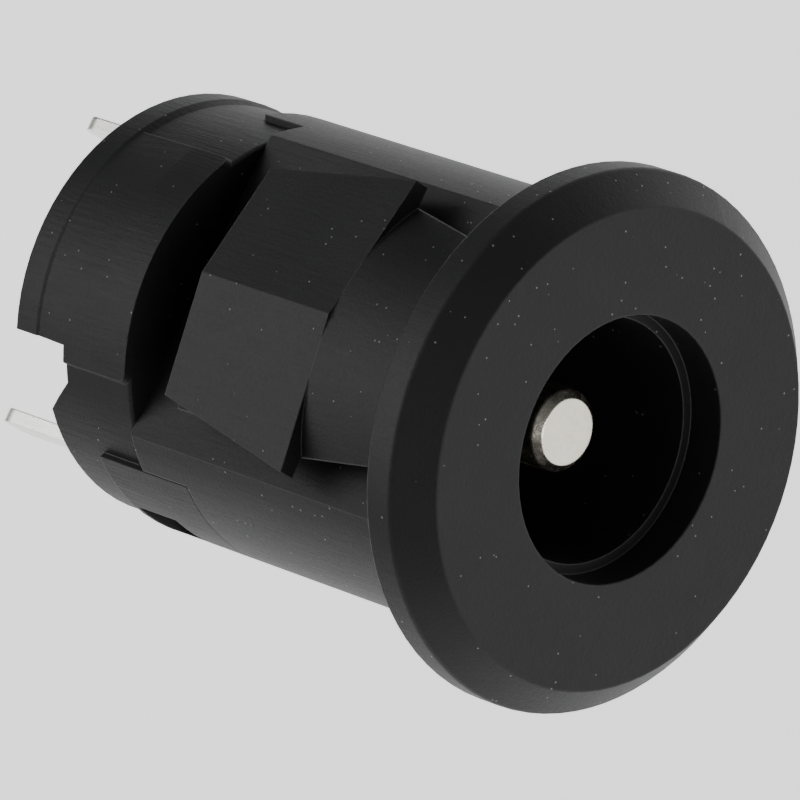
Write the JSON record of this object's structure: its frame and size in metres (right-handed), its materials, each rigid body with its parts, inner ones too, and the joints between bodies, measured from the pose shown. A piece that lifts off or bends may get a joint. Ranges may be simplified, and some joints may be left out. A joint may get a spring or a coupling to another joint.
{
  "type": "dc barrel jack",
  "caption": "Round snap-in panel jack for a barrel power plug: flanged black housing with wedge arms, centre pin, and solder lugs at the rear.",
  "frame": {"origin": "centre of the flange face that rests on the panel", "axes": "+Y along the axis from the panel into the enclosure, +Z towards one spring arm, solder lugs at the two sides along X"},
  "size_m": [0.013, 0.021, 0.013],
  "materials": {
    "housing_plastic": "fine satin moulded surface, grey where light grazes it",
    "block_plastic": "satin moulded surface with fine scratches",
    "pin_metal": "nickel-plated brass, bright and slightly warm",
    "lug_metal": "tin-plated strip"
  },
  "bodies": {
    "root": {"housing": "housing_plastic", "terminal_block": "block_plastic", "centre_pin": "pin_metal", "pin_lug": "lug_metal", "sleeve_contact": "lug_metal"}
  },
  "joints": []
}
